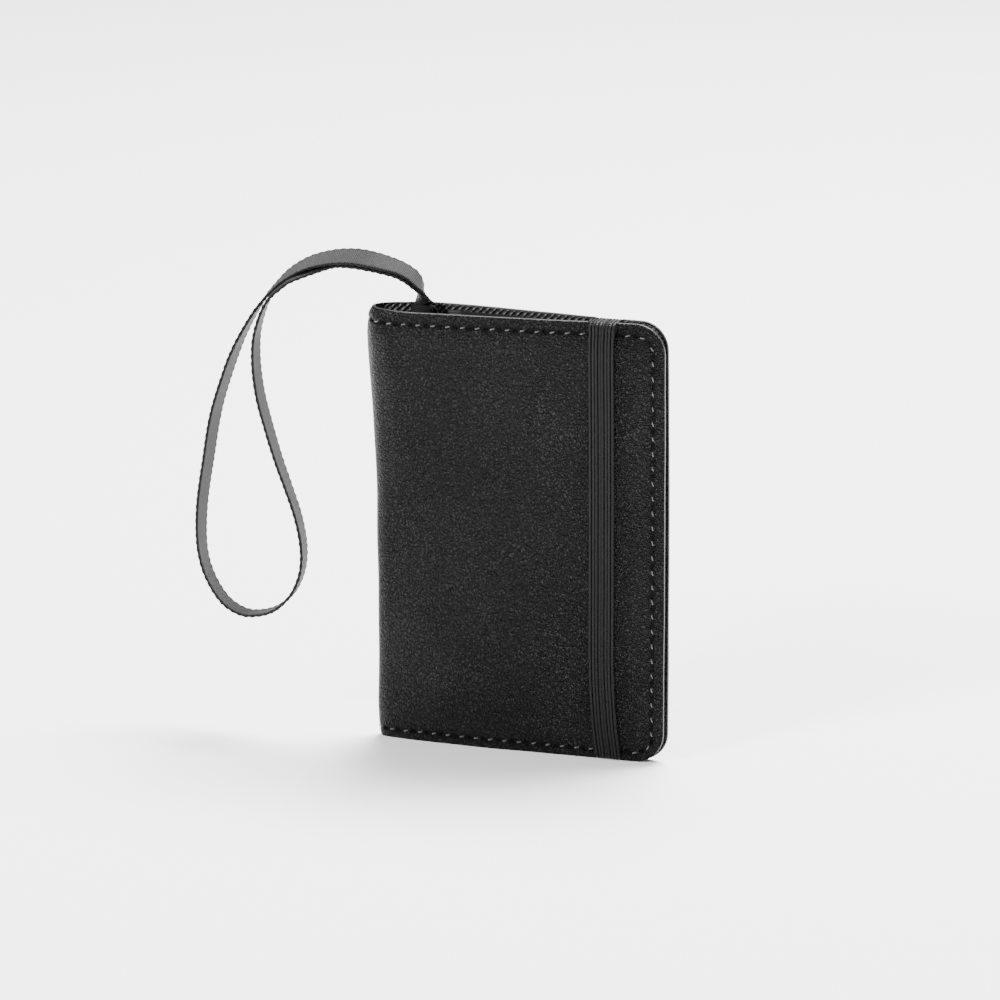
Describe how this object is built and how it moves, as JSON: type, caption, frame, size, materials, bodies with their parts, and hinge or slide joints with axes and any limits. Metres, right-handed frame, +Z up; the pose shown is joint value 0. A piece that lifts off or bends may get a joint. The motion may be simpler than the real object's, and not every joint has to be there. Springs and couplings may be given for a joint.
{
  "type": "passport wallet",
  "caption": "Bi-fold travel wallet for a passport: soft padded covers on a folding spine, pockets inside, an elastic closing band and a webbing wrist strap.",
  "frame": {"origin": "middle of the lower edge of the closed wallet, which stands upright on it", "axes": "+Z up along the wallet's height, -Y out of the front cover, -X towards the spine, +X towards the fore edge where the wallet opens"},
  "size_m": [0.1554, 0.0206, 0.1585],
  "materials": {
    "leather": "satin",
    "foam": "matte",
    "board": "matte",
    "twill_lining": "matte",
    "pocket_fabric": "matte",
    "binding_tape": "matte",
    "elastic": "matte",
    "strap_webbing": "matte"
  },
  "bodies": {
    "rear_cover": {"rear_cover_leather": "leather", "rear_cover_foam": "foam", "rear_cover_board": "board", "rear_cover_lining": "twill_lining", "passport_sleeve": "twill_lining", "passport_sleeve_binding": "binding_tape", "strap_sewn_end": "strap_webbing", "band_sewn_end_lower": "elastic", "band_sewn_end_upper": "elastic"},
    "spine_rear": {"spine_leather_rear": "leather", "spine_lining_rear": "twill_lining"},
    "spine_front": {"spine_leather_front": "leather", "spine_lining_front": "twill_lining"},
    "front_cover": {"front_cover_leather": "leather", "front_cover_foam": "foam", "front_cover_board": "board", "front_cover_lining": "twill_lining", "slip_pocket": "pocket_fabric", "card_pocket_upper": "pocket_fabric", "card_pocket_lower": "pocket_fabric"},
    "elastic_band": {"elastic_band": "elastic"},
    "wrist_strap": {"wrist_strap": "strap_webbing"}
  },
  "joints": [
    {"name": "spine_rear_fold", "type": "hinge", "parent": "rear_cover", "child": "spine_rear", "pos_m": [-0.04435, 0.00669, 0.071], "axis": [0, 0, -1], "range_deg": [0, 61.4]},
    {"name": "spine_middle_fold", "type": "hinge", "parent": "spine_rear", "child": "spine_front", "pos_m": [-0.04833, 0, 0.071], "axis": [0, 0, -1], "range_deg": [0, 61.4]},
    {"name": "spine_front_fold", "type": "hinge", "parent": "spine_front", "child": "front_cover", "pos_m": [-0.04435, -0.00669, 0.071], "axis": [0, 0, -1], "range_deg": [0, 61.4]},
    {"name": "band_pull_off", "type": "slide", "parent": "rear_cover", "child": "elastic_band", "axis": [0.9578, -0.2874, 0], "range_m": [0, 0.031], "stiffness_N_per_m": 100, "deforming": ["elastic_band"]},
    {"name": "strap_swing", "type": "hinge", "parent": "rear_cover", "child": "wrist_strap", "pos_m": [-0.0323, 0.0029, 0.14215], "axis": [0, 1, 0], "range_deg": [0, 80], "deforming": ["wrist_strap"]}
  ],
  "couplings": [
    {"joint": "spine_rear_fold", "follows": "spine_front_fold", "ratio": 1},
    {"joint": "spine_middle_fold", "follows": "spine_front_fold", "ratio": 1}
  ]
}
